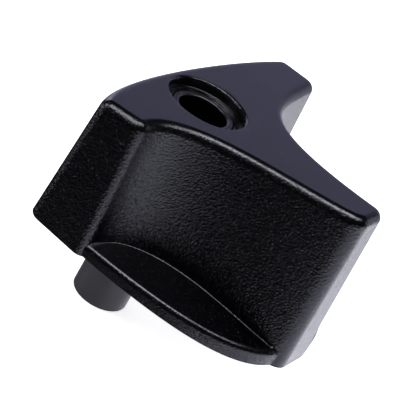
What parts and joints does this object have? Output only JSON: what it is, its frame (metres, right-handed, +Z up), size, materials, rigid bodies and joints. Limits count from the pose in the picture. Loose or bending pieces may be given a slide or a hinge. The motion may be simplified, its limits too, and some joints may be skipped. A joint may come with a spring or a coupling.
{
  "type": "wing nut",
  "caption": "Three-armed black plastic wing nut with a deep concave grip, base flange, recessed through hole and a threaded steel bush ending in a round boss.",
  "frame": {"origin": "centre of the boss's free end, on the thread axis", "axes": "+Z up the thread axis to the flat top face, +X along the long arm, the back arm towards +Y and the short arm towards -Y"},
  "size_m": [0.0571, 0.067, 0.0497],
  "materials": {
    "grip_plastic": "black moulded thermoplastic with a fine spark-eroded grain, satin on the flat top",
    "bush_steel": "dark, smooth blackened steel"
  },
  "bodies": {
    "root": {"grip": "grip_plastic", "bush": "bush_steel"}
  },
  "joints": []
}
